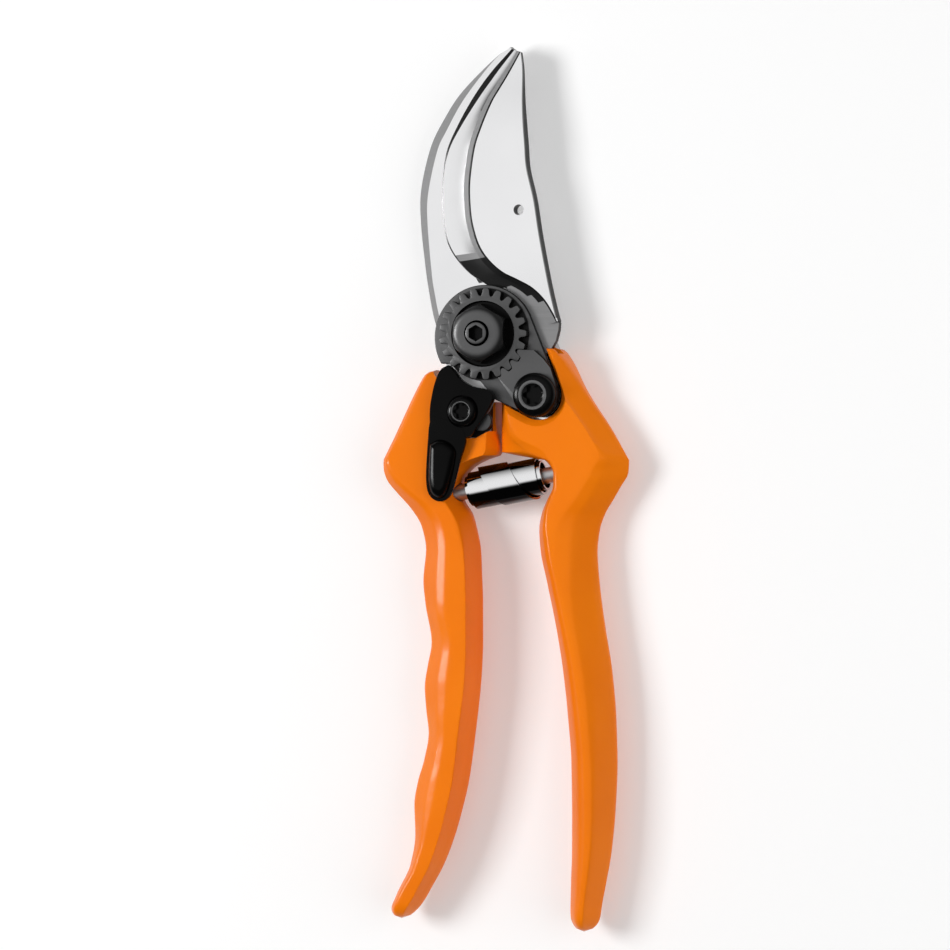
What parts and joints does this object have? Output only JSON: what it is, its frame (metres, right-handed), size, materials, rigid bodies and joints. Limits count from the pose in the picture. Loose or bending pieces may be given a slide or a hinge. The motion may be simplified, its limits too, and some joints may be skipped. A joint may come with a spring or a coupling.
{
  "type": "pruning shears",
  "caption": "bypass pruning shears with a hooked counter-blade, a toothed adjusting nut, a thumb catch, a volute recoil spring and orange-coated forged handles, closed and locked",
  "frame": {"origin": "on the pivot axis, at the flat back face of the pivot bolt's head", "axes": "+X towards the palm handle, +Y towards the blade tips, +Z out of the front face, along the pivot axis"},
  "size_m": [0.063, 0.2159, 0.0204],
  "materials": {
    "forged_alloy": "forged and tumbled, satin",
    "orange_coating": "smooth glossy orange vinyl coating",
    "blade_steel": "ground and polished hardened steel",
    "dark_steel": "dark grey phosphated steel, satin",
    "black_steel": "blackened steel, semi-gloss",
    "black_lever": "glossy black coating",
    "spring_chrome": "bright chrome plate",
    "bumper_rubber": "soft black rubber"
  },
  "bodies": {
    "palm_side": {"palm_handle_core": "forged_alloy", "palm_handle_sleeve": "orange_coating", "counter_blade": "blade_steel", "counter_blade_rivet_1": "blade_steel", "counter_blade_rivet_2": "blade_steel", "pivot_bolt": "black_steel", "adjusting_nut": "dark_steel", "cover_plate": "dark_steel", "toothed_segment": "dark_steel", "segment_spacer": "dark_steel", "segment_screw": "black_steel", "stop_bumper": "bumper_rubber", "recoil_spring": "spring_chrome"},
    "finger_side": {"finger_handle_core": "forged_alloy", "finger_handle_sleeve": "orange_coating", "cutting_blade": "blade_steel", "blade_pin_1": "blade_steel", "blade_pin_2": "blade_steel", "catch_screw": "black_steel", "catch_washer": "blade_steel"},
    "catch": {"thumb_catch": "black_lever", "latch_plate": "dark_steel"}
  },
  "joints": [
    {"name": "blade_pivot", "type": "hinge", "parent": "palm_side", "child": "finger_side", "pos_m": [0, 0, 0.0085], "axis": [0, 0, -1], "range_deg": [0, 28], "deforming": ["recoil_spring"]},
    {"name": "catch_pivot", "type": "hinge", "parent": "finger_side", "child": "catch", "pos_m": [-0.005, -0.0189, 0.0142], "axis": [0, 0, 1], "range_deg": [0, 22]}
  ]
}
